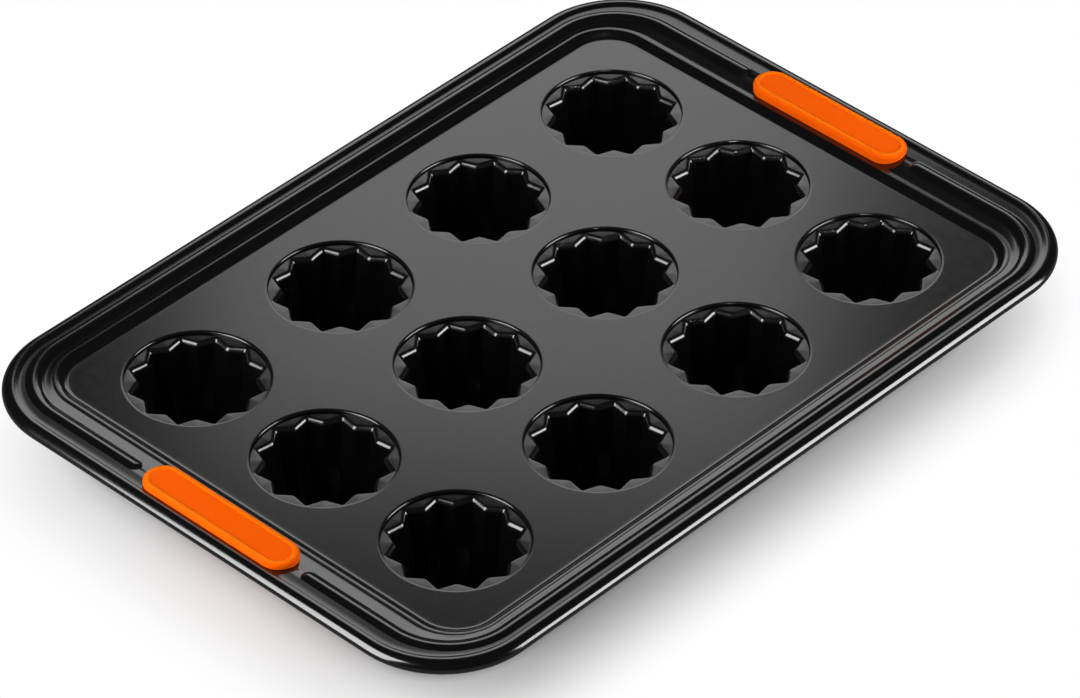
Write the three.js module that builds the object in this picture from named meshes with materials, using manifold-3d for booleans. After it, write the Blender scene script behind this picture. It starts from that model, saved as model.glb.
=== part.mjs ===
// Twelve-cup canele pan. A pressed steel tray with a stepped rim is rolled round a wire at
// its edge. Twelve drawn, fluted cups hang by their flanges under round holes in the tray,
// and a silicone grip is buttoned through a slot in each short flange.
// Millimetres, +Z up. The origin is on the table, under the middle of the tray.

import * as THREE from 'three';
import { mergeVertices } from 'three/addons/utils/BufferGeometryUtils.js';
import Module from 'manifold-3d';

const wasm = await Module();
wasm.setup();

// Cups
const cupColumns = 4;
const cupRows = 3;
const fluteCount = 12;
const mouthRadius = 28.8; // inside, at the outer tips of the flutes
const fluteDepth = 4.2;
const fluteTipWidth = 2.2;
const cupDepth = 45; // from the tray's top face to the inside of the base
const draftDegrees = 7;
const cupSheet = 0.8;
const mouthFillet = 1.6;
const baseFillet = 3;
const flangeLap = 3; // how far a cup's flange reaches under the tray

// Tray deck
const deckSheet = 0.9;
const shelfWidth = 1.8; // cup flange that shows between a flute's tip and the hole's edge
const webX = 23; // tray between neighbouring holes
const webY = 13.6;
const deckMargin = 12.3; // tray between the outer holes and the foot of the wall
const deckCornerRadius = 17.5; // at the foot of the wall
const edgeCornerRadius = 44.2; // at the outer edge

// Rim, from the foot of the wall outwards
const footEase = 0.3; // how far the wall's soft foot reaches into the deck
const wallRun = 5.6; // foot to the ridge along the wall's top
const wallHeight = 2.3;
const dipRun = 2; // shallow dip behind the ridge
const dipDepth = 0.2;
const rampLong = 2.9; // ridge to bead on the long sides
const beadWidth = 6.6;
const beadHeight = 1.25;
const beadTaper = 3.6; // length in which a bead rises from the flange
const beadToGrip = 5.3;
const flatLong = 2.45; // bead to rolled edge on the long sides
const rimHeight = 3.75; // flange above the deck where it meets the rolled edge
const flangeBend = 1.3; // power of the curve in which the flange climbs and levels off
const rollHalfWidth = 3.3; // the rolled edge is an oval in section
const rollHalfHeight = 2.45;
const rollProud = 0.55; // top of the rolled edge above the flange
const wireRadius = 1.1;
const curlEndDegrees = -150;

// Grips
const gripLength = 83.5;
const gripWidth = 17.6;
const gripHeight = 2.75; // above the level part of the flange
const gripEdge = 1.8;
const gripBorder = 3;
const gripRecess = 0.5;
const gripFootDepth = 2.2; // pad under the flange
const gripFootInset = 1;
const neckInset = 4.2;
const gripSetIn = 1.7; // ridge to grip
const gripToRoll = 0.9; // grip to rolled edge

// Clearances
const seatGap = 0.25;
const slotGap = 0.3;

// Facets
const cornerSteps = 7;
const wallSteps = 4;
const beadSteps = 4;
const rollSteps = 6;
const curlSteps = 5; // inside the rolled edge
const wireSides = 6;
const gripEndSteps = 6;
const holeSteps = (3 * fluteCount) / 2; // in half a turn, so a hole has the cup's columns

// Heights
const deckTop = cupSheet + cupDepth;
const flangeTop = deckTop - deckSheet - seatGap;

// Plan of the deck
const holeRadius = mouthRadius + shelfWidth;
const flangeRadius = holeRadius + flangeLap;
const pitchX = 2 * holeRadius + webX;
const pitchY = 2 * holeRadius + webY;
const deckHalfX = ((cupColumns - 1) * pitchX) / 2 + holeRadius + deckMargin;
const deckHalfY = ((cupRows - 1) * pitchY) / 2 + holeRadius + deckMargin;

// Section of the rim: offsets from the foot of the wall on the short and the long sides
const rollCentreHeight = deckTop + rimHeight + rollProud - rollHalfHeight;
const rollStart = Math.PI - Math.asin(1 - rollProud / rollHalfHeight); // where the flange meets it
const rollReach = -rollHalfWidth * Math.cos(rollStart);
const dipEnd = wallRun + dipRun;
const crest = {
  short: wallRun + gripSetIn + gripWidth / 2,
  long: wallRun + rampLong + beadWidth / 2,
};
const lip = {
  short: crest.short + gripWidth / 2 + gripToRoll,
  long: crest.long + beadWidth / 2 + flatLong,
};
const rollCentre = { short: lip.short + rollReach, long: lip.long + rollReach };
const edgeShort = rollCentre.short + rollHalfWidth;

// Where the beads of the short sides rise, clear of the grips
const beadStart = gripLength / 2 + beadToGrip;
const beadStations = [
  { y: beadStart, share: 0 },
  { y: beadStart + beadTaper / 3, share: 0.75 },
  { y: beadStart + beadTaper, share: 1 },
];

const radians = THREE.MathUtils.degToRad;

// A closed solid from rings of equally many points, anticlockwise seen from above. Two
// centres close its ends, the upper one first; without them the last ring meets the first.
function loft(rings, centres = []) {
  const size = rings[0].length;
  const points = [...rings.flat(), ...centres];
  const triangles = [];
  const strips = centres.length ? rings.length - 1 : rings.length;
  for (let strip = 0; strip < strips; strip += 1) {
    const here = strip * size;
    const there = ((strip + 1) % rings.length) * size;
    for (let i = 0; i < size; i += 1) {
      const next = (i + 1) % size;
      triangles.push(here + i, there + i, there + next);
      triangles.push(here + i, there + next, here + next);
    }
  }
  if (centres.length) {
    const first = rings.length * size;
    const lastRing = first - size;
    for (let i = 0; i < size; i += 1) {
      const next = (i + 1) % size;
      triangles.push(first, i, next);
      triangles.push(first + 1, lastRing + next, lastRing + i);
    }
  }
  const geometry = new THREE.BufferGeometry().setFromPoints(points);
  geometry.setIndex(triangles);
  return geometry;
}

function toSolid(geometry) {
  const bare = geometry.clone();
  bare.deleteAttribute('normal');
  bare.deleteAttribute('uv');
  const merged = mergeVertices(bare);
  const vertProperties = new Float32Array(merged.attributes.position.array);
  const triVerts = new Uint32Array(merged.index.array);
  return new wasm.Manifold(new wasm.Mesh({ numProp: 3, vertProperties, triVerts }));
}

function toGeometry(solid) {
  const { vertProperties, triVerts } = solid.getMesh();
  const geometry = new THREE.BufferGeometry();
  geometry.setAttribute('position', new THREE.BufferAttribute(vertProperties, 3));
  geometry.setIndex(new THREE.BufferAttribute(triVerts, 1));
  return geometry;
}

// A ring round the tray. Its corner radius grows from the deck to the edge, and its bead share
// is nothing beside the grips.
function rimRing({ short, long, height, rise = 0 }) {
  const halfX = deckHalfX + short;
  const halfY = deckHalfY + long;
  const radius = THREE.MathUtils.lerp(deckCornerRadius, edgeCornerRadius, short / edgeShort);
  const quarter = beadStations.map(({ y, share }) => new THREE.Vector3(halfX, y, height + rise * share));
  for (let step = 0; step <= cornerSteps; step += 1) {
    const angle = ((Math.PI / 2) * step) / cornerSteps;
    const x = halfX - radius + radius * Math.cos(angle);
    const y = halfY - radius + radius * Math.sin(angle);
    quarter.push(new THREE.Vector3(x, y, height + rise));
  }
  const turned = (signX, signY) => quarter.map(({ x, y, z }) => new THREE.Vector3(signX * x, signY * y, z));
  return [
    ...turned(1, 1),
    ...turned(-1, 1).reverse(),
    ...turned(-1, -1),
    ...turned(1, -1).reverse(),
  ];
}

// Top of the flange on the short sides: it climbs from the dip and levels off at the rolled edge.
function flangeHeight(offset) {
  const left = THREE.MathUtils.clamp((lip.short - offset) / (lip.short - dipEnd), 0, 1);
  const climb = rimHeight - (wallHeight - dipDepth);
  return deckTop + rimHeight - climb * left ** flangeBend;
}

// Upper face of the pressed sheet, from the foot of the wall to the rolled edge
function pressedProfile() {
  const wall = [];
  for (let step = 0; step <= wallSteps; step += 1) {
    const offset = THREE.MathUtils.lerp(-footEase, wallRun, step / wallSteps);
    const height = deckTop + wallHeight * THREE.MathUtils.smootherstep(offset, -footEase, wallRun);
    wall.push({ short: offset, long: offset, height });
  }
  wall.push({ short: dipEnd, long: dipEnd, height: flangeHeight(dipEnd) });
  const bead = [];
  for (let step = 0; step <= beadSteps; step += 1) {
    const across = step / beadSteps - 0.5;
    const short = crest.short + across * beadWidth;
    const long = crest.long + across * beadWidth;
    const rise = beadHeight * Math.cos(Math.PI * across);
    bead.push({ short, long, height: flangeHeight(short), rise });
  }
  return [...wall, ...bead, { ...lip, height: deckTop + rimHeight }];
}

// Points round the rolled edge, clockwise in section
function rollArc(halfWidth, halfHeight, startAngle, endAngle, steps) {
  const arc = [];
  for (let step = 0; step <= steps; step += 1) {
    const angle = THREE.MathUtils.lerp(startAngle, endAngle, step / steps);
    const reach = halfWidth * Math.cos(angle);
    arc.push({
      short: rollCentre.short + reach,
      long: rollCentre.long + reach,
      height: rollCentreHeight + halfHeight * Math.sin(angle),
    });
  }
  return arc;
}

function stadium(length, width) {
  const radius = width / 2;
  const points = [];
  for (const side of [1, -1]) {
    for (let step = 0; step <= gripEndSteps; step += 1) {
      const angle = (Math.PI * step) / gripEndSteps;
      const x = side * radius * Math.cos(angle);
      const y = side * (length / 2 - radius + radius * Math.sin(angle));
      points.push(new THREE.Vector2(x, y));
    }
  }
  return points;
}

function punch(shape, bottom, top, curveSegments) {
  const options = { depth: top - bottom, bevelEnabled: false, curveSegments };
  return new THREE.ExtrudeGeometry(shape, options).translate(0, 0, bottom);
}

function cupPlaces() {
  const places = [];
  for (let column = 0; column < cupColumns; column += 1) {
    for (let row = 0; row < cupRows; row += 1) {
      places.push({
        name: `cup_${column + 1}_${row + 1}`,
        x: (column - (cupColumns - 1) / 2) * pitchX,
        y: (row - (cupRows - 1) / 2) * pitchY,
      });
    }
  }
  return places;
}

// Pressed tray: deck, stepped wall, beaded flange and rolled edge, with the cup holes and
// grip slots punched out
function trayDeck() {
  const upper = pressedProfile();
  const under = upper.map((ring) => ({ ...ring, height: ring.height - deckSheet })).reverse();
  const curlEnd = radians(curlEndDegrees);
  const insideWidth = rollHalfWidth - deckSheet;
  const insideHeight = rollHalfHeight - deckSheet;
  const insideStart = Math.PI - Math.asin(1 - rollProud / insideHeight);
  const profile = [
    ...upper,
    ...rollArc(rollHalfWidth, rollHalfHeight, rollStart, curlEnd, rollSteps).slice(1),
    ...rollArc(insideWidth, insideHeight, curlEnd, insideStart, curlSteps),
    ...under,
  ];
  const middle = [deckTop, deckTop - deckSheet].map((height) => new THREE.Vector3(0, 0, height));
  let sheet = toSolid(loft(profile.map(rimRing), middle));

  const hole = new THREE.Shape().absarc(0, 0, holeRadius, 0, 2 * Math.PI);
  const holePunch = punch(hole, deckTop - 2 * deckSheet, deckTop + deckSheet, holeSteps);
  for (const { x, y } of cupPlaces()) {
    sheet = sheet.subtract(toSolid(holePunch.clone().translate(x, y, 0)));
  }

  const slotGrow = 2 * (slotGap - neckInset);
  const slot = new THREE.Shape(stadium(gripLength + slotGrow, gripWidth + slotGrow));
  const slotPunch = punch(slot, deckTop - deckSheet, deckTop + rimHeight + deckSheet, 1);
  for (const side of [-1, 1]) {
    const place = side * (deckHalfX + crest.short);
    sheet = sheet.subtract(toSolid(slotPunch.clone().translate(place, 0, 0)));
  }
  return toGeometry(sheet);
}

// Wire that the edge is rolled round
function rimWire() {
  const turn = rollArc(wireRadius, wireRadius, Math.PI, -Math.PI, wireSides).slice(0, -1);
  return loft(turn.map(rimRing));
}

// A ring of flutes: two points at each rounded tip and one at each ridge between the tips
function fluteRing(tipRadius, height) {
  const points = [];
  const add = (radius, angle) => {
    points.push(new THREE.Vector3(radius * Math.cos(angle), radius * Math.sin(angle), height));
  };
  const tipHalf = Math.asin(fluteTipWidth / 2 / tipRadius);
  const spacing = (2 * Math.PI) / fluteCount;
  for (let flute = 0; flute < fluteCount; flute += 1) {
    const angle = flute * spacing;
    add(tipRadius, angle - tipHalf);
    add(tipRadius, angle + tipHalf);
    add(tipRadius - fluteDepth, angle + spacing / 2);
  }
  return points;
}

// The same columns as the flutes', on a circle
function flangeRing(height) {
  return fluteRing(mouthRadius, height).map((point) => {
    const flat = new THREE.Vector2(point.x, point.y).setLength(flangeRadius);
    return new THREE.Vector3(flat.x, flat.y, height);
  });
}

// Drawn cup, from the inside of its base up over the flange and down the outside
function cup() {
  const wallTop = flangeTop - mouthFillet;
  const wallFoot = cupSheet + baseFillet;
  const footRadius = mouthRadius - (wallTop - wallFoot) * Math.tan(radians(draftDegrees));
  const rings = [
    fluteRing(footRadius - baseFillet, cupSheet),
    fluteRing(footRadius, wallFoot),
    fluteRing(mouthRadius, wallTop),
    fluteRing(mouthRadius + mouthFillet, flangeTop),
    flangeRing(flangeTop),
    flangeRing(flangeTop - cupSheet),
    fluteRing(mouthRadius + mouthFillet, flangeTop - cupSheet),
    fluteRing(mouthRadius + cupSheet, wallTop),
    fluteRing(footRadius + cupSheet, wallFoot),
    fluteRing(footRadius - baseFillet + cupSheet, 0),
  ];
  return loft(rings, [new THREE.Vector3(0, 0, cupSheet), new THREE.Vector3(0, 0, 0)]);
}

// Silicone grip in its own place at the +X end: a pad with a raised border, a neck through
// the slot, and a foot under the flange
function grip() {
  const centre = crest.short;
  const top = deckTop + rimHeight + gripHeight;
  const ring = (inset, heightAt) => {
    const outline = stadium(gripLength - 2 * inset, gripWidth - 2 * inset);
    return outline.map(({ x, y }) => new THREE.Vector3(deckHalfX + centre + x, y, heightAt(centre + x)));
  };
  const level = (height) => () => height;
  const aboveFlange = (offset) => flangeHeight(offset) + seatGap;
  const underFlange = (offset) => flangeHeight(offset) - deckSheet - seatGap;
  const footBottom = (offset) => underFlange(offset) - gripFootDepth;
  const rings = [
    ring(gripBorder + gripRecess, level(top - gripRecess)),
    ring(gripBorder, level(top)),
    ring(gripEdge, level(top)),
    ring(gripEdge * (1 - Math.SQRT1_2), level(top - gripEdge * (1 - Math.SQRT1_2))),
    ring(0, level(top - gripEdge)),
    ring(0, aboveFlange),
    ring(neckInset, aboveFlange),
    ring(neckInset, underFlange),
    ring(gripFootInset, underFlange),
    ring(gripFootInset, (offset) => footBottom(offset) + gripFootInset),
    ring(2 * gripFootInset, footBottom),
  ];
  const ends = [top - gripRecess, footBottom(centre)];
  return loft(rings, ends.map((height) => new THREE.Vector3(deckHalfX + centre, 0, height)));
}

const coatedSteel = new THREE.MeshStandardMaterial({ color: 0x1b1b1c, roughness: 0.42, metalness: 0.35 });
const cupSteel = new THREE.MeshStandardMaterial({ color: 0x121213, roughness: 0.3, metalness: 0.35 });
const wireSteel = new THREE.MeshStandardMaterial({ color: 0x9a9a98, roughness: 0.4, metalness: 1 });
const silicone = new THREE.MeshStandardMaterial({ color: 0xff6400, roughness: 0.55, metalness: 0 });

function piece(name, geometry, material) {
  const mesh = new THREE.Mesh(geometry, material);
  mesh.name = name;
  return mesh;
}

const pan = new THREE.Group();
pan.add(piece('tray_deck', trayDeck(), coatedSteel));
pan.add(piece('rim_wire', rimWire(), wireSteel));

const cupGeometry = cup();
for (const { name, x, y } of cupPlaces()) {
  const mesh = piece(name, cupGeometry, cupSteel);
  mesh.position.set(x, y, 0);
  pan.add(mesh);
}

const gripGeometry = grip();
pan.add(piece('grip_right', gripGeometry, silicone));
const leftGrip = piece('grip_left', gripGeometry, silicone);
leftGrip.rotation.z = Math.PI;
pan.add(leftGrip);

export default pan;
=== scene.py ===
import math

import bmesh
import bpy
from mathutils import Matrix, Vector


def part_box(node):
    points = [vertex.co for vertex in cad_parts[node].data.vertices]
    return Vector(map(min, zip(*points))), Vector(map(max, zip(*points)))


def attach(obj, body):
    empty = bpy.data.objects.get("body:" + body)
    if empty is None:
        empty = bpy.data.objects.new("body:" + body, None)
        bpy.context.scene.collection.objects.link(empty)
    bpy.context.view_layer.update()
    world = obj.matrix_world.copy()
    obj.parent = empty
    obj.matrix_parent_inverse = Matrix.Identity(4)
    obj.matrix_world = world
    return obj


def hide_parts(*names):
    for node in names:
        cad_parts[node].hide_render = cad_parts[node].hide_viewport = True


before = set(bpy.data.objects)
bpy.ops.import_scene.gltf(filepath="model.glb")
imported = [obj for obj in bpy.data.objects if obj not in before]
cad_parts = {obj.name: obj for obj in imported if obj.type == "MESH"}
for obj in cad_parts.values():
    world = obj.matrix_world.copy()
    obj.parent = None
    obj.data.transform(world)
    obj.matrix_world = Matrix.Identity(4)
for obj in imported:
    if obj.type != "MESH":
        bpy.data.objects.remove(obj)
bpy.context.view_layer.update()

MM = 0.001

# Sheet and seats, millimetres
DECK_SHEET = 0.9
CUP_SHEET = 0.8
SEAT_GAP = 0.25

# Cups
FLUTES = 12
MOUTH_RADIUS = 27.9
FLUTE_DEPTH = 4.2
TIP_ROUND = 1.0
RIDGE_ROUND = 1.0
ROUND_STEPS = 3
MOUTH_FILLET = 2.6
MOUTH_STEPS = 8
BASE_FILLET = 3.0
BASE_STEPS = 6
BASE_INSET = 0.7
DRAFT = math.radians(7)
FLANGE_LAP = 3.0

# Holes in the deck
HOLE_SIDES = 96
HOLE_GUARD = 1.4
HOLE_EDGE = 0.5
HOLE_EDGE_STEPS = 3
DECK_BORDER = 1.5
DECK_MARGIN = 12.3

# Rim, from the foot of the wall outwards on the short sides
FOOT_EASE = 0.3
WALL_RUN = 5.6
WALL_HEIGHT = 2.3
WALL_POINTS = 17
RIDGE_DROP = 0.5
SHORT_DIP = 0.03
LEDGE_RUN = 1.5
LEDGE_POINTS = 6
RAMP_RISE = 0.38
RAMP_POINTS = 7
BEAD_WIDTH = 6.6
BEAD_HEIGHT = 1.05
BEAD_CURVE = 1.25
BEAD_POINTS = 15
BEAD_END_CUTS = 12
RIM_HEIGHT = 3.75
LIP_RISE = 0.08
LIP_TURN = 0.16
LIP_CURVE = 6
LIP_POINTS = 10
ROLL_HALF_WIDTH = 4.0
ROLL_HALF_HEIGHT = 3.2
ROLL_PROUD = 0.55
ROLL_FOOT = 0.8
ROLL_FOOT_STEPS = 5
ROLL_POINTS = 28
ROLL_POINTS_IN_FOOT = 2
CURL_END = math.radians(-150)
WIRE_RADIUS = 1.1
WIRE_STEPS = 3
CORNER_STEPS = 24
DECK_CORNER = 17.5
EDGE_CORNER = 44.2

# Rim on the long sides, where it differs, and the grips' place on the short ones
LEDGE_LONG = 0.45
RAMP_LONG = 2.9
FLAT_LONG = 1.95
GRIP_SET_IN = 1.7

# Grips
GRIP_LENGTH = 83.5
GRIP_WIDTH = 17.6
GRIP_HEIGHT = 2.75
GRIP_EDGE = 1.8
GRIP_EDGE_STEPS = 6
GRIP_BORDER = 2.6
GRIP_RECESS = 0.45
GRIP_NECK_INSET = 4.2
GRIP_FOOT_INSET = 1.0
GRIP_FOOT_DEPTH = 2.2
GRIP_FOOT_STEPS = 3
GRIP_END_STEPS = 20
BEAD_TO_GRIP = 5.3
SLOT_GAP = 0.3
SLOT_CUTTER_HEIGHT = 8

# How near a point counts as on a level, a hole's edge, the bead or a line of the section
NEAR_LEVEL = 0.01
NEAR_HOLE = 0.05
NEAR_BEAD = 0.1
NEAR_LINE = 1e-6
MERGE_GAP = 0.01

# A face is level from this upright part of its normal on
LEVEL_NORMAL = 0.9

# Faces that meet at less than this shade as one surface, degrees
TRAY_SMOOTH = 38
WIRE_SMOOTH = 40
CUP_SMOOTH = 35
GRIP_SMOOTH = 45

# Places taken from the frame, and lines of the section that follow from the sizes
CUPS = [f"cup_{column}_{row}" for column in range(1, 5) for row in range(1, 4)]
cup_low, cup_high = (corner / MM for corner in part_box(CUPS[0]))
FLANGE_TOP = cup_high.z
DECK_TOP = FLANGE_TOP + SEAT_GAP + DECK_SHEET
FLANGE_RADIUS = (cup_high.x - cup_low.x) / 2
HOLE_RADIUS = FLANGE_RADIUS - FLANGE_LAP
HALF_BEAD = BEAD_WIDTH / 2
SECTION_START = -FOOT_EASE - DECK_BORDER
LEDGE_END = WALL_RUN + LEDGE_RUN
LEDGE_END_LONG = WALL_RUN + LEDGE_LONG
CREST_SHORT = WALL_RUN + GRIP_SET_IN + GRIP_WIDTH / 2
BEAD_START = CREST_SHORT - HALF_BEAD
BEAD_END = CREST_SHORT + HALF_BEAD
LIP_SHORT = CREST_SHORT + GRIP_WIDTH / 2
CREST_LONG = WALL_RUN + RAMP_LONG + HALF_BEAD
BEAD_START_LONG = CREST_LONG - HALF_BEAD
LIP_LONG = CREST_LONG + HALF_BEAD + FLAT_LONG
ROLL_START = math.pi - math.asin(1 - ROLL_PROUD / ROLL_HALF_HEIGHT)
ROLL_REACH = -ROLL_HALF_WIDTH * math.cos(ROLL_START)
ROLL_CENTRE_HEIGHT = RIM_HEIGHT + ROLL_PROUD - ROLL_HALF_HEIGHT
EDGE_SHORT = LIP_SHORT + ROLL_REACH + ROLL_HALF_WIDTH
EDGE_LONG = LIP_LONG + ROLL_REACH + ROLL_HALF_WIDTH


def cup_centre(name):
    low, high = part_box(name)
    middle = (low + high) / 2 / MM
    return middle.x, middle.y


CENTRES = {name: cup_centre(name) for name in CUPS}
DECK_HALF_X = max(x for x, y in CENTRES.values()) + HOLE_RADIUS + DECK_MARGIN
DECK_HALF_Y = max(y for x, y in CENTRES.values()) + HOLE_RADIUS + DECK_MARGIN


# Helpers: selecting in code, moving points, starting and finishing a piece

def take(piece):
    """Makes a piece the active and only selected one."""
    bpy.ops.object.select_all(action="DESELECT")
    bpy.context.view_layer.objects.active = piece
    piece.select_set(True)


def start(name):
    """A new empty piece, in edit mode."""
    piece = bpy.data.objects.new(name, bpy.data.meshes.new(name))
    bpy.context.scene.collection.objects.link(piece)
    take(piece)
    bpy.ops.object.mode_set(mode="EDIT")
    return piece


def stop():
    bpy.ops.object.mode_set(mode="OBJECT")


def choose(kind, test):
    """In edit mode, selects exactly the verts, edges or faces that pass the test."""
    modes = ("verts", "edges", "faces")
    bpy.context.tool_settings.mesh_select_mode = tuple(kind == mode for mode in modes)
    bpy.ops.mesh.select_all(action="DESELECT")
    mesh = bpy.context.edit_object.data
    shape = bmesh.from_edit_mesh(mesh)
    for item in getattr(shape, kind):
        if test(item):
            item.select_set(True)
    shape.select_flush_mode()
    bmesh.update_edit_mesh(mesh)


def choose_level(height):
    """In edit mode, selects the edges that lie at a height."""
    choose("edges", lambda edge: all(abs(v.co.z / MM - height) < NEAR_LEVEL for v in edge.verts))


def move_points(move, selected_only=True):
    """In edit mode, hands each selected vertex, or every one, to a function that moves it."""
    mesh = bpy.context.edit_object.data
    shape = bmesh.from_edit_mesh(mesh)
    for vertex in shape.verts:
        if vertex.select or not selected_only:
            move(vertex)
    bmesh.update_edit_mesh(mesh)


def turn_outward():
    """In edit mode, makes every face look outwards."""
    bpy.ops.mesh.select_all(action="SELECT")
    bpy.ops.mesh.normals_make_consistent(inside=False)


def apply(piece, kind, **settings):
    """Adds a modifier, sets it and applies it."""
    label = kind.lower()
    modifier = piece.modifiers.new(label, kind)
    for key, value in settings.items():
        setattr(modifier, key, value)
    take(piece)
    bpy.ops.object.modifier_apply(modifier=label)


def thicken(piece, sheet):
    """Gives a surface the thickness of its sheet, on the side away from its normals."""
    apply(piece, "SOLIDIFY", thickness=sheet * MM, offset=-1, use_even_offset=True)


def smooth(piece, degrees):
    take(piece)
    bpy.ops.object.shade_smooth_by_angle(angle=math.radians(degrees))


def copy_piece(piece, name, move):
    """A copy with its own mesh, with its place in the mesh."""
    twin = piece.copy()
    twin.name = name
    twin.data = piece.data.copy()
    twin.data.name = name
    twin.data.transform(move)
    bpy.context.scene.collection.objects.link(twin)
    return twin


def at(x, y, z):
    """A point given in millimetres."""
    return Vector((x, y, z)) * MM


def spread(first, last, count):
    """Evenly spaced numbers, both ends among them."""
    return [first + (last - first) * step / (count - 1) for step in range(count)]


def quarter_round(radius, steps):
    """Steps of a quarter circle: how far each goes aside and how far along."""
    for step in range(steps):
        low = math.pi / 2 * step / steps
        high = math.pi / 2 * (step + 1) / steps
        aside = radius * (math.cos(low) - math.cos(high))
        along = radius * (math.sin(high) - math.sin(low))
        yield aside, along


# Section of the rim

def round_corner(before, corner, after, radius):
    """Points of the arc that rounds a corner between two other points."""
    here = Vector(corner)
    inward = (Vector(before) - here).normalized()
    onward = (Vector(after) - here).normalized()
    half = inward.angle(onward) / 2
    reach = radius / math.tan(half)
    middle = here + (inward + onward).normalized() * radius / math.sin(half)
    first = here + inward * reach - middle
    last = here + onward * reach - middle
    turn = first.angle_signed(last)
    points = []
    for step in range(ROLL_FOOT_STEPS + 1):
        spoke = first.copy()
        spoke.rotate(Matrix.Rotation(-turn * step / ROLL_FOOT_STEPS, 2))
        points.append(tuple(middle + spoke))
    return points


def wall_line(offset):
    """Wall from the deck up to its ridge, easing in and out by a smoother step."""
    share = (offset + FOOT_EASE) / (WALL_RUN + FOOT_EASE)
    return WALL_HEIGHT * share**3 * (share * (share * 6 - 15) + 10)


def ridge_share(offset):
    """1 on the wall's ridge, down to 0 at the wall's foot and at the bead."""
    if offset < WALL_RUN:
        return wall_line(offset) / WALL_HEIGHT
    return min(max((BEAD_START - offset) / (BEAD_START - LEDGE_END), 0), 1)


def flange_line(offset):
    """Flange without its bead: a level ledge, a ramp, a gentle climb, and a turn up at the lip."""
    ramp_top = WALL_HEIGHT + RAMP_RISE
    lip_foot = RIM_HEIGHT - LIP_RISE - LIP_TURN
    if offset < BEAD_START:
        return ramp_top - RAMP_RISE * ridge_share(offset)
    if offset < BEAD_END:
        return ramp_top + (lip_foot - ramp_top) * (offset - BEAD_START) / BEAD_WIDTH
    share = min((offset - BEAD_END) / (LIP_SHORT - BEAD_END), 1)
    return lip_foot + LIP_RISE * share + LIP_TURN * share**LIP_CURVE


def short_drop(offset):
    """How much lower the short sides are: a lower ridge, and a shallow dip after it."""
    share = min(max((offset - WALL_RUN) / LEDGE_RUN, 0), 1)
    dip = SHORT_DIP * (1 - math.cos(math.pi * share)) / 2
    return (RIDGE_DROP + dip) * ridge_share(offset)


def bead_rise(across):
    """Height of the bead above the flange, at a distance from its crest."""
    share = min(abs(across) / HALF_BEAD, 1)
    return BEAD_HEIGHT * (1 - share**2) ** BEAD_CURVE


def rim_section():
    """(offset, height) points from the deck beside the wall's foot to the end of the curl."""
    section = [(SECTION_START, 0)]
    section += [(s, wall_line(s)) for s in spread(-FOOT_EASE, WALL_RUN, WALL_POINTS)]
    section += [(s, flange_line(s)) for s in spread(WALL_RUN, LEDGE_END, LEDGE_POINTS)[1:]]
    section += [(s, flange_line(s)) for s in spread(LEDGE_END, BEAD_START, RAMP_POINTS)[1:-1]]
    for across in spread(-HALF_BEAD, HALF_BEAD, BEAD_POINTS):
        offset = CREST_SHORT + across
        section.append((offset, flange_line(offset) + bead_rise(across)))
    foot_start = LIP_SHORT - ROLL_FOOT
    section += [(s, flange_line(s)) for s in spread(BEAD_END, foot_start, LIP_POINTS)[1:]]
    roll_middle = Vector((LIP_SHORT + ROLL_REACH, ROLL_CENTRE_HEIGHT))
    roll = []
    for angle in spread(ROLL_START, CURL_END, ROLL_POINTS)[ROLL_POINTS_IN_FOOT:]:
        spoke = Vector((ROLL_HALF_WIDTH * math.cos(angle), ROLL_HALF_HEIGHT * math.sin(angle)))
        roll.append(tuple(roll_middle + spoke))
    foot = round_corner(section[-1], (LIP_SHORT, RIM_HEIGHT), roll[0], ROLL_FOOT)
    return section + foot + roll


def long_offset(short):
    """Offset on the long sides of a line of the section given on the short sides."""
    if LEDGE_END < short < BEAD_START:
        eased = 1 - math.sqrt(ridge_share(short))
        return LEDGE_END_LONG + (BEAD_START_LONG - LEDGE_END_LONG) * eased
    marks = [
        (SECTION_START, SECTION_START),
        (WALL_RUN, WALL_RUN),
        (LEDGE_END, LEDGE_END_LONG),
        (BEAD_START, BEAD_START_LONG),
        (BEAD_END, BEAD_START_LONG + BEAD_WIDTH),
        (LIP_SHORT, LIP_LONG),
        (EDGE_SHORT, EDGE_LONG),
    ]
    for (low, low_long), (high, high_long) in zip(marks, marks[1:]):
        if short <= high + NEAR_LINE:
            return low_long + (high_long - low_long) * (short - low) / (high - low)


def outline_sizes(short):
    """Half length, half width and corner radius of a line round the tray."""
    radius = DECK_CORNER + (EDGE_CORNER - DECK_CORNER) * short / EDGE_SHORT
    return DECK_HALF_X + short, DECK_HALF_Y + long_offset(short), radius


def rounded_outline(short, height):
    """In edit mode, adds a rounded rectangle of edges round the tray."""
    half_x, half_y, radius = outline_sizes(short)
    middle = at(0, 0, DECK_TOP + height)
    bpy.ops.mesh.primitive_plane_add(size=2 * MM, location=middle)
    bpy.ops.transform.resize(value=(half_x, half_y, 1), center_override=middle)
    bpy.ops.mesh.bevel(
        offset=radius * MM, segments=CORNER_STEPS, affect="VERTICES", clamp_overlap=False
    )
    bpy.ops.mesh.delete(type="ONLY_FACE")


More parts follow.
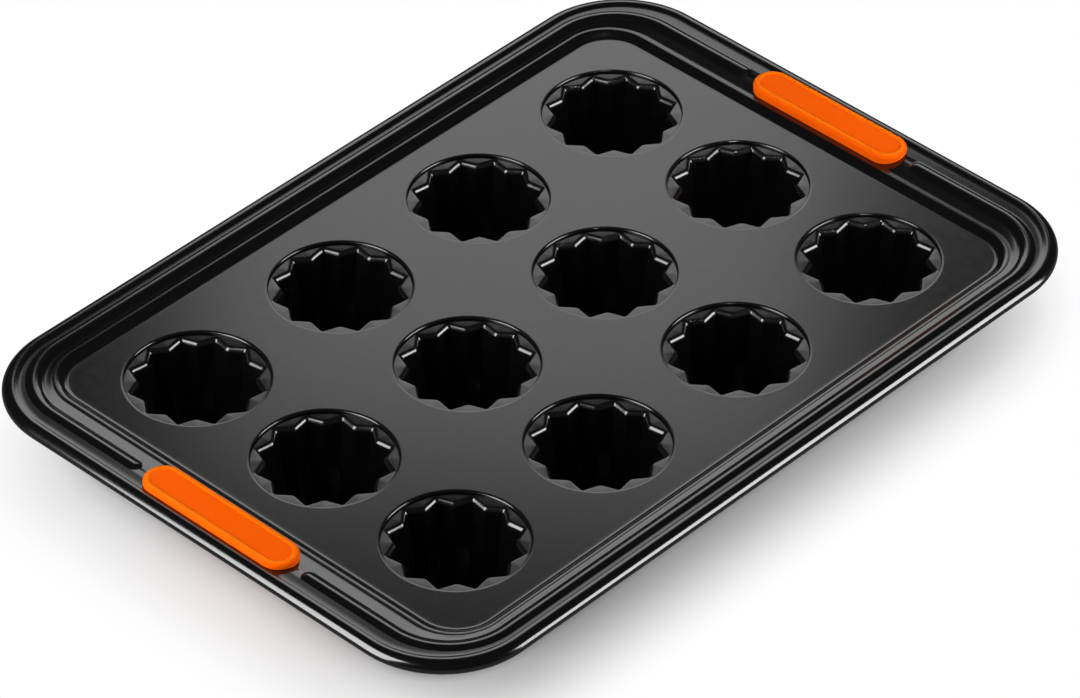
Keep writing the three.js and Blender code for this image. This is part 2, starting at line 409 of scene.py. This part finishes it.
def pull_outline(before, after):
    """Extrudes the selected outline from one point of the section to the next."""
    bpy.ops.mesh.extrude_edges_move()
    old_x, old_y, old_radius = outline_sizes(before[0])
    new_x, new_y, new_radius = outline_sizes(after[0])

    def move(vertex):
        right = math.copysign(1, vertex.co.x)
        back = math.copysign(1, vertex.co.y)
        old_corner = at(right * (old_x - old_radius), back * (old_y - old_radius), 0)
        new_corner = at(right * (new_x - new_radius), back * (new_y - new_radius), 0)
        spoke = (vertex.co - old_corner) * new_radius / old_radius
        vertex.co = new_corner + spoke
        short_side = (spoke.x / spoke.to_2d().length) ** 2
        drop = short_drop(after[0]) * short_side
        vertex.co.z = (DECK_TOP + after[1] - drop) * MM

    move_points(move)


# Pressed tray

def lay_rim():
    """Pulls the rim out of one outline, through every point of the section."""
    section = rim_section()
    rounded_outline(*section[0])
    bpy.ops.mesh.select_all(action="SELECT")
    for before, after in zip(section, section[1:]):
        pull_outline(before, after)


def on_hole(vertex):
    """Whether a vertex lies on the edge of a hole."""
    for x, y in CENTRES.values():
        radius = math.hypot(vertex.co.x / MM - x, vertex.co.y / MM - y)
        if abs(radius - HOLE_RADIUS) < NEAR_HOLE:
            return True
    return False


def on_deck(edge):
    return all(abs(vertex.co.z / MM - DECK_TOP) < NEAR_LEVEL for vertex in edge.verts)


def lay_holes():
    """A flat collar for each hole, and the deck filled in between them and the rim."""
    collar = HOLE_RADIUS + HOLE_GUARD
    shrink = HOLE_RADIUS / collar
    for x, y in CENTRES.values():
        middle = at(x, y, DECK_TOP)
        bpy.ops.mesh.primitive_circle_add(
            vertices=HOLE_SIDES, radius=collar * MM, location=middle
        )
        bpy.ops.mesh.extrude_edges_move()
        bpy.ops.transform.resize(value=(shrink, shrink, 1), center_override=middle)
    choose("edges", lambda edge: edge.is_boundary and on_deck(edge) and not on_hole(edge.verts[0]))
    bpy.ops.mesh.fill(use_beauty=True)


def end_beads():
    """Runs the short sides' beads out in round ends, clear of the grips."""
    full = GRIP_LENGTH / 2 + BEAD_TO_GRIP + HALF_BEAD

    def past_wall(face):
        return abs(face.calc_center_median().x) > (DECK_HALF_X + WALL_RUN) * MM

    def settle(vertex):
        offset = abs(vertex.co.x) / MM - DECK_HALF_X
        across = offset - CREST_SHORT
        back = full - abs(vertex.co.y) / MM
        if abs(across) < HALF_BEAD + NEAR_BEAD and back > 0:
            rise = bead_rise(math.hypot(across, back))
            vertex.co.z = (DECK_TOP + flange_line(offset) + rise) * MM

    for turn in spread(0, math.pi / 2, BEAD_END_CUTS):
        cut = full - HALF_BEAD * math.sin(turn)
        for side in (-1, 1):
            choose("faces", past_wall)
            bpy.ops.mesh.bisect(plane_co=at(0, side * cut, 0), plane_no=(0, 1, 0), use_fill=False)
    move_points(settle, selected_only=False)


def stadium_block(middle, length, width, height):
    """In edit mode, adds an upright block with half-round ends, long along Y."""
    bpy.ops.mesh.primitive_cube_add(size=MM, location=middle)
    bpy.ops.transform.resize(value=(width, length, height), center_override=middle)

    def is_upright(edge):
        first, second = edge.verts
        return abs(first.co.z - second.co.z) > height * MM / 2

    choose("edges", is_upright)
    bpy.ops.mesh.bevel(
        offset=width / 2 * MM, segments=GRIP_END_STEPS, affect="EDGES", clamp_overlap=False
    )
    bpy.ops.mesh.select_all(action="SELECT")
    bpy.ops.mesh.remove_doubles(threshold=MERGE_GAP * MM)


def cut_slots(tray):
    """Cuts the slot that each grip is buttoned through."""
    shrink = 2 * (SLOT_GAP - GRIP_NECK_INSET)
    for side in (-1, 1):
        cutter = start("slot_cutter")
        middle = at(side * (DECK_HALF_X + CREST_SHORT), 0, DECK_TOP + RIM_HEIGHT)
        stadium_block(middle, GRIP_LENGTH + shrink, GRIP_WIDTH + shrink, SLOT_CUTTER_HEIGHT)
        stop()
        apply(tray, "BOOLEAN", operation="DIFFERENCE", solver="EXACT", object=cutter)
        bpy.data.objects.remove(cutter)


def make_tray():
    tray = start("tray")
    lay_rim()
    lay_holes()
    end_beads()
    turn_outward()
    stop()
    thicken(tray, DECK_SHEET)
    bpy.ops.object.mode_set(mode="EDIT")
    choose("edges", lambda edge: on_deck(edge) and all(on_hole(vertex) for vertex in edge.verts))
    bpy.ops.mesh.bevel(offset=HOLE_EDGE * MM, segments=HOLE_EDGE_STEPS, affect="EDGES")
    stop()
    cut_slots(tray)
    smooth(tray, TRAY_SMOOTH)
    return tray


# Wire that the edge is rolled round

def make_wire():
    wire = start("rim_wire_round")
    rounded_outline(LIP_SHORT + ROLL_REACH, ROLL_CENTRE_HEIGHT)
    stop()
    bpy.ops.object.convert(target="CURVE")
    wire.data.bevel_depth = WIRE_RADIUS * MM
    wire.data.bevel_resolution = WIRE_STEPS
    bpy.ops.object.convert(target="MESH")
    smooth(wire, WIRE_SMOOTH)
    return wire


# Fluted cup

def star_loop(x, y, height):
    """In edit mode, adds a loop of flutes with rounded tips and ridges."""
    middle = at(x, y, height)
    bpy.ops.mesh.primitive_circle_add(
        vertices=2 * FLUTES, radius=MOUTH_RADIUS * MM, location=middle
    )

    def is_ridge(vertex):
        """Whether a vertex lies about halfway between two tips."""
        angle = math.atan2(vertex.co.y - middle.y, vertex.co.x - middle.x)
        flute_share = (angle / (2 * math.pi) * FLUTES) % 1
        return abs(flute_share - 1 / 2) < 1 / 4

    choose("verts", is_ridge)
    inward = 1 - FLUTE_DEPTH / MOUTH_RADIUS
    bpy.ops.transform.resize(value=(inward, inward, 1), center_override=middle)
    bpy.ops.mesh.bevel(offset=RIDGE_ROUND * MM, segments=ROUND_STEPS, affect="VERTICES")
    tip_reach = (MOUTH_RADIUS - FLUTE_DEPTH / 4) * MM
    choose("verts", lambda v: math.hypot(v.co.x - middle.x, v.co.y - middle.y) > tip_reach)
    bpy.ops.mesh.bevel(offset=TIP_ROUND * MM, segments=ROUND_STEPS, affect="VERTICES")


def pull_loop(x, y, rise, scale):
    """Extrudes the selected loop and scales it about the cup's axis."""
    bpy.ops.mesh.extrude_edges_move(TRANSFORM_OT_translate={"value": (0, 0, rise * MM)})
    bpy.ops.transform.resize(value=(scale, scale, 1), center_override=at(x, y, 0))


def pull_to_circle(x, y, radius):
    """Extrudes the selected loop and moves it along its spokes to a circle."""
    bpy.ops.mesh.extrude_edges_move()

    def move(vertex):
        spoke = Vector((vertex.co.x - x * MM, vertex.co.y - y * MM, 0)).normalized()
        vertex.co = at(x, y, vertex.co.z / MM) + spoke * radius * MM

    move_points(move)


def make_cup():
    """The first cup, in its own place."""
    x, y = CENTRES[CUPS[0]]
    wall_top = FLANGE_TOP - MOUTH_FILLET
    wall_foot = CUP_SHEET + BASE_FILLET
    wall_drop = wall_top - wall_foot
    cup = start(CUPS[0] + "_drawn")
    star_loop(x, y, wall_top)

    radius = MOUTH_RADIUS
    choose_level(wall_top)
    for aside, along in quarter_round(MOUTH_FILLET, MOUTH_STEPS):
        pull_loop(x, y, along, (radius + aside) / radius)
        radius += aside
    pull_to_circle(x, y, FLANGE_RADIUS)

    choose_level(wall_top)
    radius = MOUTH_RADIUS - wall_drop * math.tan(DRAFT)
    pull_loop(x, y, -wall_drop, radius / MOUTH_RADIUS)
    for aside, along in quarter_round(BASE_FILLET, BASE_STEPS):
        pull_loop(x, y, -along, (radius - aside) / radius)
        radius -= aside
    pull_loop(x, y, 0, BASE_INSET)
    bpy.ops.mesh.edge_face_add()
    turn_outward()
    stop()
    thicken(cup, CUP_SHEET)
    smooth(cup, CUP_SMOOTH)
    return cup


# Silicone grip

def pull_down(depth):
    """Extrudes the selected faces straight down."""
    bpy.ops.mesh.extrude_region_move(TRANSFORM_OT_translate={"value": (0, 0, -depth * MM)})


def widen_neck(centre_x):
    """Widens the selected neck outline to the foot's, keeping its ends round."""
    neck_half = GRIP_WIDTH / 2 - GRIP_NECK_INSET
    foot_half = GRIP_WIDTH / 2 - GRIP_FOOT_INSET
    straight = (GRIP_LENGTH - GRIP_WIDTH) / 2
    grow = foot_half / neck_half

    def move(vertex):
        vertex.co.x = centre_x * MM + (vertex.co.x - centre_x * MM) * grow
        past = abs(vertex.co.y) - straight * MM
        if past > 0:
            vertex.co.y = math.copysign(straight * MM + past * grow, vertex.co.y)

    move_points(move)


def seat_pad(bottom):
    """Lets everything under the pad follow the climbing flange."""

    def move(vertex):
        if vertex.co.z / MM < bottom + NEAR_LEVEL:
            offset = vertex.co.x / MM - DECK_HALF_X
            flange = flange_line(offset) - short_drop(offset)
            vertex.co.z += (flange - RIM_HEIGHT) * MM

    move_points(move, selected_only=False)


def make_grip():
    """The grip of the +X end: pad with a raised border, neck and foot."""
    centre_x = DECK_HALF_X + CREST_SHORT
    top = DECK_TOP + RIM_HEIGHT + GRIP_HEIGHT
    bottom = DECK_TOP + RIM_HEIGHT + SEAT_GAP
    side_top = top - GRIP_EDGE
    through = DECK_SHEET + 2 * SEAT_GAP
    grip = start("grip_right_moulded")
    middle = at(centre_x, 0, (side_top + bottom) / 2)
    stadium_block(middle, GRIP_LENGTH, GRIP_WIDTH, side_top - bottom)

    choose("faces", lambda face: face.normal.z < -LEVEL_NORMAL)
    bpy.ops.mesh.inset(thickness=GRIP_NECK_INSET * MM)
    pull_down(through)
    bpy.ops.mesh.extrude_region_move()
    widen_neck(centre_x)
    pull_down(GRIP_FOOT_DEPTH)
    choose_level(bottom - through - GRIP_FOOT_DEPTH)
    bpy.ops.mesh.bevel(offset=GRIP_FOOT_INSET * MM, segments=GRIP_FOOT_STEPS, affect="EDGES")

    # The pad's top is the only level face above that has more than four corners
    choose("faces", lambda face: face.normal.z > LEVEL_NORMAL and len(face.verts) > 4)
    for aside, along in quarter_round(GRIP_EDGE, GRIP_EDGE_STEPS):
        bpy.ops.mesh.inset(thickness=aside * MM, depth=along * MM)
    bpy.ops.mesh.inset(thickness=(GRIP_BORDER - GRIP_EDGE) * MM)
    bpy.ops.mesh.inset(thickness=GRIP_RECESS * MM, depth=-GRIP_RECESS * MM)
    bpy.ops.mesh.inset(thickness=GRIP_RECESS * MM)
    seat_pad(bottom)
    turn_outward()
    stop()
    smooth(grip, GRIP_SMOOTH)
    return grip


# Materials: linear colours, noise scales per metre, roughness from and to

COATING_IOR = 1.8
TRAY_BLACK = (0.002, 0.002, 0.0022)
TRAY_ROUGH = (0.14, 0.16)
TRAY_PEEL = 0.05
CUP_BLACK = (0.0015, 0.0015, 0.0016)
CUP_ROUGH = (0.20, 0.24)
CUP_PEEL = 0.08
CLOUD_SCALE = 45
CLOUD_DARK = 0.8
CLOUD_LIGHT = 1.2
COATING_GLOSS_SCALE = 260
COATING_PEEL_SCALE = 1500

PANEL_ORANGE = (1.0, 0.115, 0.0)
# Painted highlight: the grips' raised border is coloured a lighter orange, where it would catch
# the light
BORDER_PAINTED_HIGHLIGHT = (1.0, 0.18, 0.002)
SILICONE_ROUGH = (0.46, 0.58)
SILICONE_GRAIN = 0.12
SILICONE_GLOSS_SCALE = 900
SILICONE_GRAIN_SCALE = 2200
SILICONE_GLOW = 0.15
SILICONE_GLOW_TINT = (1.0, 0.35, 0.1)
SILICONE_GLOW_DEPTH = 1.2
SILICONE_SHINE = 0.03

WIRE_GREY = (0.42, 0.42, 0.41)
WIRE_ROUGH = (0.3, 0.5)
WIRE_GLOSS_SCALE = 700

CLOUDY_DETAIL = 3
FINE_DETAIL = 2
NOISE_LOW = 0.3
NOISE_HIGH = 0.7
GRAIN_DEPTH = 0.05


def new_material(name):
    material = bpy.data.materials.new(name)
    material.use_nodes = True
    nodes = material.node_tree.nodes
    return material, nodes, material.node_tree.links, nodes["Principled BSDF"]


def noise(nodes, links, scale, detail):
    """A noise texture in the piece's own metres."""
    place = nodes.new("ShaderNodeTexCoord")
    texture = nodes.new("ShaderNodeTexNoise")
    texture.inputs["Scale"].default_value = scale
    texture.inputs["Detail"].default_value = detail
    links.new(place.outputs["Object"], texture.inputs["Vector"])
    return texture.outputs["Fac"]


def between(nodes, links, value, low, high):
    """Soft step from 0 at the low value to 1 at the high one."""
    share = nodes.new("ShaderNodeMapRange")
    share.interpolation_type = "SMOOTHSTEP"
    share.inputs["From Min"].default_value = low
    share.inputs["From Max"].default_value = high
    links.new(value, share.inputs["Value"])
    return share.outputs["Result"]


def two_tones(nodes, links, surface, share, first, second):
    """Base colour that goes from one tone to another."""
    tone = nodes.new("ShaderNodeMix")
    tone.data_type = "RGBA"
    tone.inputs["A"].default_value = (*first, 1)
    tone.inputs["B"].default_value = (*second, 1)
    links.new(share, tone.inputs["Factor"])
    links.new(tone.outputs["Result"], surface.inputs["Base Color"])


def uneven_gloss(nodes, links, surface, scale, detail, rough):
    """Roughness that wanders between two values."""
    span = nodes.new("ShaderNodeMapRange")
    span.inputs["From Min"].default_value = NOISE_LOW
    span.inputs["From Max"].default_value = NOISE_HIGH
    span.inputs["To Min"].default_value, span.inputs["To Max"].default_value = rough
    links.new(noise(nodes, links, scale, detail), span.inputs["Value"])
    links.new(span.outputs["Result"], surface.inputs["Roughness"])


def fine_grain(nodes, links, surface, scale, strength):
    """Shallow bumps too small to see one by one."""
    bump = nodes.new("ShaderNodeBump")
    bump.inputs["Strength"].default_value = strength
    bump.inputs["Distance"].default_value = GRAIN_DEPTH * MM
    links.new(noise(nodes, links, scale, FINE_DETAIL), bump.inputs["Height"])
    links.new(bump.outputs["Normal"], surface.inputs["Normal"])


def nonstick_coating(name, colour, rough, peel):
    """Baked satin coating: fine orange peel, faint clouding in tone and gloss."""
    material, nodes, links, surface = new_material(name)
    surface.inputs["IOR"].default_value = COATING_IOR
    dark = [channel * CLOUD_DARK for channel in colour]
    light = [channel * CLOUD_LIGHT for channel in colour]
    cloud = noise(nodes, links, CLOUD_SCALE, CLOUDY_DETAIL)
    two_tones(nodes, links, surface, cloud, dark, light)
    uneven_gloss(nodes, links, surface, COATING_GLOSS_SCALE, CLOUDY_DETAIL, rough)
    fine_grain(nodes, links, surface, COATING_PEEL_SCALE, peel)
    return material


def silicone_rubber():
    """Soft orange moulding with a dull skin, and a painted highlight that makes its raised border
    a little lighter.
    """
    material, nodes, links, surface = new_material("orange_silicone")
    surface.inputs["Subsurface Weight"].default_value = SILICONE_GLOW
    surface.inputs["Subsurface Radius"].default_value = SILICONE_GLOW_TINT
    surface.inputs["Subsurface Scale"].default_value = SILICONE_GLOW_DEPTH * MM
    surface.inputs["Specular IOR Level"].default_value = SILICONE_SHINE
    place = nodes.new("ShaderNodeTexCoord")
    parts = nodes.new("ShaderNodeSeparateXYZ")
    links.new(place.outputs["Object"], parts.inputs["Vector"])
    pad_top = (DECK_TOP + RIM_HEIGHT + GRIP_HEIGHT) * MM
    # Painted highlight: from the recess up to the top, the pad's raised border takes the lighter
    # orange
    border = between(nodes, links, parts.outputs["Z"], pad_top - GRIP_RECESS * MM, pad_top)
    two_tones(nodes, links, surface, border, PANEL_ORANGE, BORDER_PAINTED_HIGHLIGHT)
    uneven_gloss(nodes, links, surface, SILICONE_GLOSS_SCALE, FINE_DETAIL, SILICONE_ROUGH)
    fine_grain(nodes, links, surface, SILICONE_GRAIN_SCALE, SILICONE_GRAIN)
    return material


def drawn_wire():
    """Bare drawn steel."""
    material, nodes, links, surface = new_material("drawn_steel_wire")
    surface.inputs["Metallic"].default_value = 1.0
    surface.inputs["Base Color"].default_value = (*WIRE_GREY, 1)
    uneven_gloss(nodes, links, surface, WIRE_GLOSS_SCALE, CLOUDY_DETAIL, WIRE_ROUGH)
    return material


# Studio

CAMERA_AZIMUTH = math.radians(46.49)
CAMERA_ELEVATION = math.radians(39.10)
CAMERA_DISTANCE = 2.691
CAMERA_LENS = 214.7
CAMERA_FAR_END = 20
SENSOR_WIDTH = 36.0
AIM = at(-14.3, -15.35, DECK_TOP)

# Floor: the paper turns to plain white outside this rectangle, metres; inside it the paper keeps
# its lit shade and a painted shadow, so the rectangle's place also sets where that shade shows
FLOOR_RADIUS = 2.5
FLOOR_SIDES = 64
FADE_MIDDLE_X = 0.010
FADE_MIDDLE_Y = 0.012
FADE_HALF_X = 0.1286
FADE_HALF_Y = 0.0815
FADE_EASE_X = 0.8
FADE_EASE_Y = 1.0
FADE_START = 0.030
FADE_END = 0.086
# Painted shadow: the paper is coloured black up to the first distance from the rectangle, and
# reaches its white at the second, metres
SHADOW_PAINT_START = 0.027
SHADOW_PAINT_END = 0.040
PAPER_WHITE = 0.85
PAPER_ROUGH = 0.9
PAPER_SHINE = 0.1
FLOOR_MIRROR = 0.15

# Light: what lies round the scene, the cards behind the pan, and the lamps' edges
WORLD_LIGHT = 0.03
CARD_DISTANCE = 2.5
BACK_CARD_TILT = math.radians(-5)
LEFT_SOFTBOX_PLACE = Vector((-0.74, 0.2, 0.41))
LEFT_SIDE = at(-200, 0, DECK_TOP)
SNOOT_EDGE = 0.5


def look_from(place, target):
    """Rotation of a lamp or camera at a place, looking at a target."""
    return (target - place).to_track_quat("-Z", "Y").to_euler()


def place_camera():
    flat = math.cos(CAMERA_ELEVATION)
    sight = Vector((
        math.sin(CAMERA_AZIMUTH) * flat,
        math.cos(CAMERA_AZIMUTH) * flat,
        -math.sin(CAMERA_ELEVATION),
    ))
    lens = bpy.data.cameras.new("camera")
    lens.lens = CAMERA_LENS
    lens.sensor_width = SENSOR_WIDTH
    lens.clip_end = CAMERA_FAR_END
    camera = bpy.data.objects.new("camera", lens)
    camera.location = AIM - sight * CAMERA_DISTANCE
    camera.rotation_euler = look_from(camera.location, AIM)
    bpy.context.scene.collection.objects.link(camera)
    bpy.context.scene.camera = camera


def hang(name, lamp, place, target):
    """Hangs a lamp at a place, aimed at a target."""
    holder = bpy.data.objects.new(name, lamp)
    holder.location = place
    holder.rotation_euler = look_from(place, target)
    bpy.context.scene.collection.objects.link(holder)
    return holder


def softbox(name, place, target, width, height, radiance):
    """An area lamp of a given brightness per area."""
    lamp = bpy.data.lights.new(name, "AREA")
    lamp.shape = "RECTANGLE"
    lamp.size = width
    lamp.size_y = height
    lamp.energy = radiance * math.pi * width * height
    return hang(name, lamp, place, target)


def card(name, azimuth, rise, width, height, radiance):
    """An upright bright card far behind the pan, raised above the deck."""
    lift = Vector((0, 0, rise))
    place = toward(azimuth, 0, CARD_DISTANCE) + lift
    return softbox(name, place, at(0, 0, DECK_TOP) + lift, width, height, radiance)


def snoot(name, place, target, radius, cone, power):
    """A narrow lamp that lights one small place."""
    lamp = bpy.data.lights.new(name, "SPOT")
    lamp.shadow_soft_size = radius
    lamp.spot_size = math.radians(cone)
    lamp.spot_blend = SNOOT_EDGE
    lamp.energy = power
    return hang(name, lamp, place, target)


def arithmetic(nodes, links, operation, first, second):
    """A math node on two values, each a socket or a number."""
    node = nodes.new("ShaderNodeMath")
    node.operation = operation
    for socket, value in zip(node.inputs, (first, second)):
        if isinstance(value, float):
            socket.default_value = value
        else:
            links.new(value, socket)
    return node.outputs["Value"]


def pan_distance(nodes, links):
    """Distance on the floor outside the rectangle that the paper fades from."""
    place = nodes.new("ShaderNodeTexCoord")
    parts = nodes.new("ShaderNodeSeparateXYZ")
    links.new(place.outputs["Object"], parts.inputs["Vector"])
    outside = []
    sides = (
        ("X", FADE_MIDDLE_X, FADE_HALF_X, FADE_EASE_X),
        ("Y", FADE_MIDDLE_Y, FADE_HALF_Y, FADE_EASE_Y),
    )
    for axis, middle, half, ease in sides:
        away = arithmetic(nodes, links, "SUBTRACT", parts.outputs[axis], middle)
        away = arithmetic(nodes, links, "ABSOLUTE", away, 0.0)
        past = arithmetic(nodes, links, "SUBTRACT", away, half)
        past = arithmetic(nodes, links, "MAXIMUM", past, 0.0)
        past = arithmetic(nodes, links, "MULTIPLY", past, ease)
        outside.append(arithmetic(nodes, links, "POWER", past, 2.0))
    square = arithmetic(nodes, links, "ADD", *outside)
    return arithmetic(nodes, links, "SQRT", square, 0.0)


def paper_floor():
    """Matt white paper with a painted shadow that makes it dark where the pan stands, and its lit
    shade round the pan, that turns to plain white away from it.
    """
    bpy.ops.object.select_all(action="DESELECT")
    bpy.ops.mesh.primitive_circle_add(
        vertices=FLOOR_SIDES, radius=FLOOR_RADIUS, fill_type="NGON", location=(0, 0, 0)
    )
    floor = bpy.context.active_object
    floor.name = "paper_floor"
    material, nodes, links, surface = new_material("white_paper")
    gap = pan_distance(nodes, links)
    # Painted shadow: the paper's colour darkens to black near the pan
    painted_shadow = between(nodes, links, gap, SHADOW_PAINT_START, SHADOW_PAINT_END)
    painted_shadow.node.inputs["To Max"].default_value = PAPER_WHITE
    links.new(painted_shadow, surface.inputs["Base Color"])
    surface.inputs["Roughness"].default_value = PAPER_ROUGH
    surface.inputs["Specular IOR Level"].default_value = PAPER_SHINE
    blank = nodes.new("ShaderNodeEmission")
    rays = nodes.new("ShaderNodeLightPath")
    dimming = 1 - FLOOR_MIRROR
    mirrored = arithmetic(nodes, links, "MULTIPLY", rays.outputs["Is Glossy Ray"], dimming)
    links.new(arithmetic(nodes, links, "SUBTRACT", 1.0, mirrored), blank.inputs["Strength"])
    fade = nodes.new("ShaderNodeMixShader")
    links.new(between(nodes, links, gap, FADE_START, FADE_END), fade.inputs["Fac"])
    links.new(surface.outputs["BSDF"], fade.inputs[1])
    links.new(blank.outputs["Emission"], fade.inputs[2])
    links.new(fade.outputs["Shader"], nodes["Material Output"].inputs["Surface"])
    floor.data.materials.append(material)


def white_studio():
    """World: plain white to the camera, dim to everything else."""
    world = bpy.data.worlds.new("white_studio")
    bpy.context.scene.world = world
    world.use_nodes = True
    nodes = world.node_tree.nodes
    links = world.node_tree.links
    sky = nodes["Background"]
    rays = nodes.new("ShaderNodeLightPath")
    shown = nodes.new("ShaderNodeMapRange")
    shown.inputs["To Min"].default_value = WORLD_LIGHT
    shown.inputs["To Max"].default_value = 1.0
    links.new(rays.outputs["Is Camera Ray"], shown.inputs["Value"])
    sky.inputs["Color"].default_value = (1, 1, 1, 1)
    links.new(shown.outputs["Result"], sky.inputs["Strength"])


def toward(azimuth, elevation, distance):
    """A place seen from the middle of the deck; azimuth in degrees from +X to +Y."""
    turn = math.radians(azimuth)
    tilt = math.radians(elevation)
    flat = math.cos(tilt)
    way = Vector((math.cos(turn) * flat, math.sin(turn) * flat, math.sin(tilt)))
    return at(0, 0, DECK_TOP) + way * distance


def light_pan():
    back = card("back_card", azimuth=44, rise=1.945, width=0.58, height=0.50, radiance=1.25)
    back.rotation_euler.rotate_axis("Z", BACK_CARD_TILT)
    card("low_card", azimuth=42, rise=1.23, width=1.5, height=0.94, radiance=1.55)
    softbox(
        "right_softbox",
        place=toward(azimuth=-54, elevation=18, distance=1.0),
        target=at(0, 0, DECK_TOP),
        width=0.6,
        height=0.55,
        radiance=8.0,
    )
    softbox(
        "left_softbox",
        place=LEFT_SOFTBOX_PLACE,
        target=LEFT_SIDE,
        width=0.5,
        height=0.75,
        radiance=7.0,
    )
    snoot(
        "grip_snoot",
        place=toward(azimuth=265, elevation=72, distance=1.3),
        target=at(DECK_HALF_X + CREST_SHORT, 0, DECK_TOP + RIM_HEIGHT),
        radius=0.12,
        cone=7,
        power=60,
    )


# Assembly

tray = make_tray()
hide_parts("tray_deck")
tray.data.materials.append(
    nonstick_coating("satin_black_coating", TRAY_BLACK, TRAY_ROUGH, TRAY_PEEL)
)

wire = make_wire()
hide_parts("rim_wire")
wire.data.materials.append(drawn_wire())

first_cup = make_cup()
first_cup.data.materials.append(
    nonstick_coating("cup_black_coating", CUP_BLACK, CUP_ROUGH, CUP_PEEL)
)
first_x, first_y = CENTRES[CUPS[0]]
cups = [first_cup]
for name in CUPS[1:]:
    x, y = CENTRES[name]
    move = Matrix.Translation(at(x - first_x, y - first_y, 0))
    cups.append(copy_piece(first_cup, name + "_drawn", move))
for name, cup in zip(CUPS, cups):
    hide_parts(name)

grip_right = make_grip()
grip_right.data.materials.append(silicone_rubber())
grip_left = copy_piece(grip_right, "grip_left_moulded", Matrix.Rotation(math.pi, 4, "Z"))
for grip, node in ((grip_right, "grip_right"), (grip_left, "grip_left")):
    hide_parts(node)

for piece in (tray, wire, grip_right, grip_left, *cups):
    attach(piece, "root")

place_camera()
paper_floor()
white_studio()
light_pan()
bpy.context.scene.view_settings.view_transform = "Standard"
